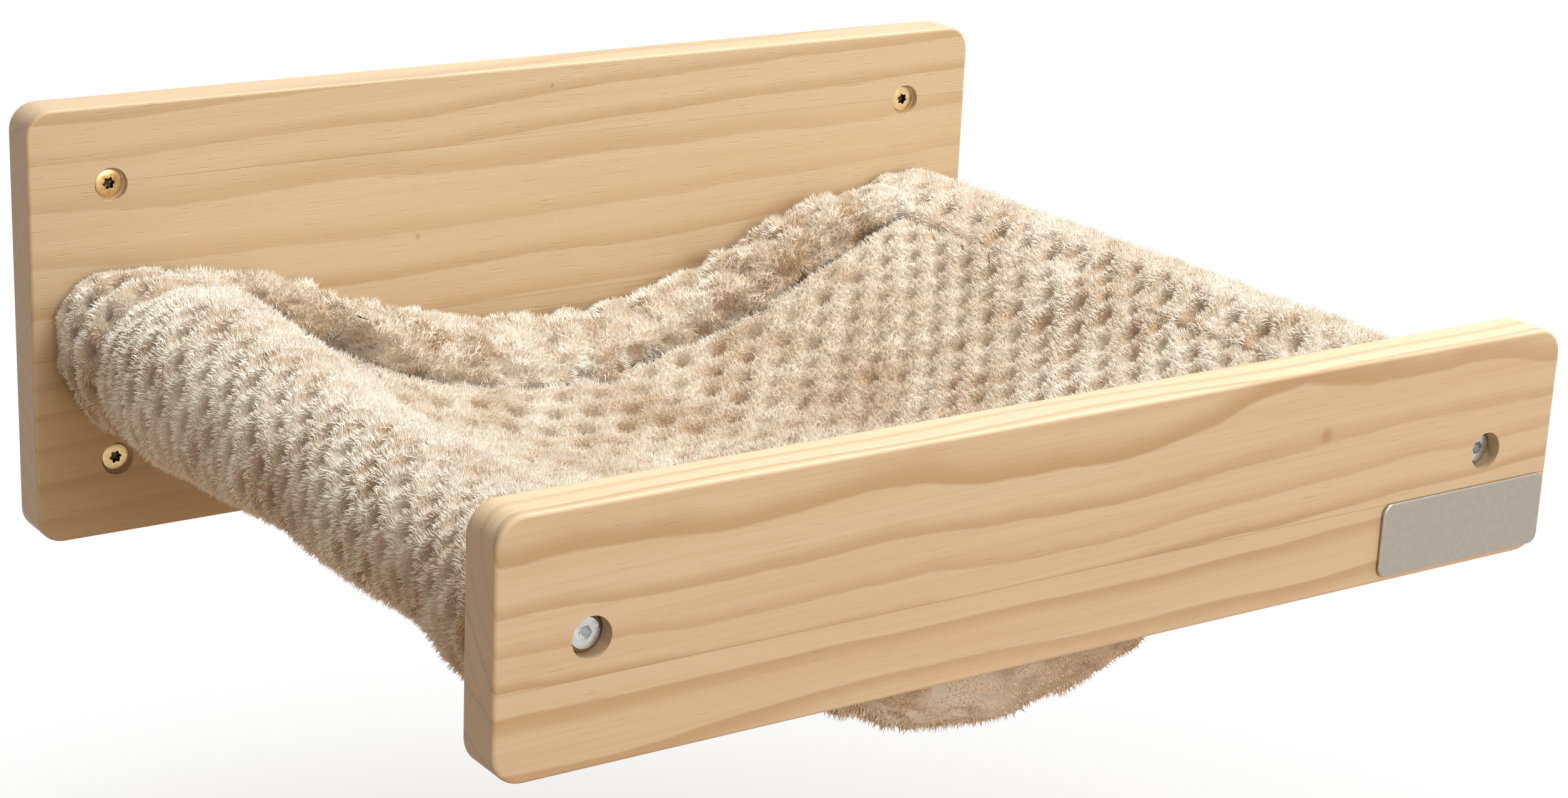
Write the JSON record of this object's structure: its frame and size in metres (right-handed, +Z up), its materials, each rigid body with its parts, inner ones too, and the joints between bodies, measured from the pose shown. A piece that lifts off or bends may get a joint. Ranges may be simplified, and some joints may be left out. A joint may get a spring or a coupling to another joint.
{
  "type": "wall-mounted pet hammock",
  "caption": "Wall shelf hammock for a cat: two pine boards joined by two round rods that carry a sagging plush sling, with its wall screws fitted.",
  "frame": {"origin": "middle of the wall board's back face, on the wall, at the centre of the four wall screws", "axes": "+X to the right along the boards seen from the room, +Y into the wall, +Z up"},
  "size_m": [0.4, 0.3904, 0.156],
  "materials": {
    "pine": "planed and sanded, clear matt",
    "rod_wood": "turned, raw",
    "insert_zinc": "zinc alloy, dull",
    "bolt_steel": "bright zinc plated",
    "screw_zinc": "yellow zinc plated",
    "plate_aluminium": "satin",
    "adhesive_foam": "foam tape",
    "plush": "long pile with staggered dimples",
    "wadding": "polyester fleece"
  },
  "bodies": {
    "root": {"wall_board": "pine", "front_board": "pine", "left_rod": "rod_wood", "right_rod": "rod_wood", "left_rod_front_insert": "insert_zinc", "left_rod_rear_insert": "insert_zinc", "right_rod_front_insert": "insert_zinc", "right_rod_rear_insert": "insert_zinc", "left_rod_front_bolt": "bolt_steel", "left_rod_rear_bolt": "bolt_steel", "right_rod_front_bolt": "bolt_steel", "right_rod_rear_bolt": "bolt_steel", "wall_screw_upper_left": "screw_zinc", "wall_screw_upper_right": "screw_zinc", "wall_screw_lower_left": "screw_zinc", "wall_screw_lower_right": "screw_zinc", "name_plate": "plate_aluminium", "name_plate_pad": "adhesive_foam", "sling_left_sleeve": "plush", "sling_right_sleeve": "plush", "sling_upper_panel": "plush", "sling_core": "wadding", "sling_lower_panel": "plush", "sling_rear_hem": "plush", "sling_front_hem": "plush"}
  },
  "joints": []
}
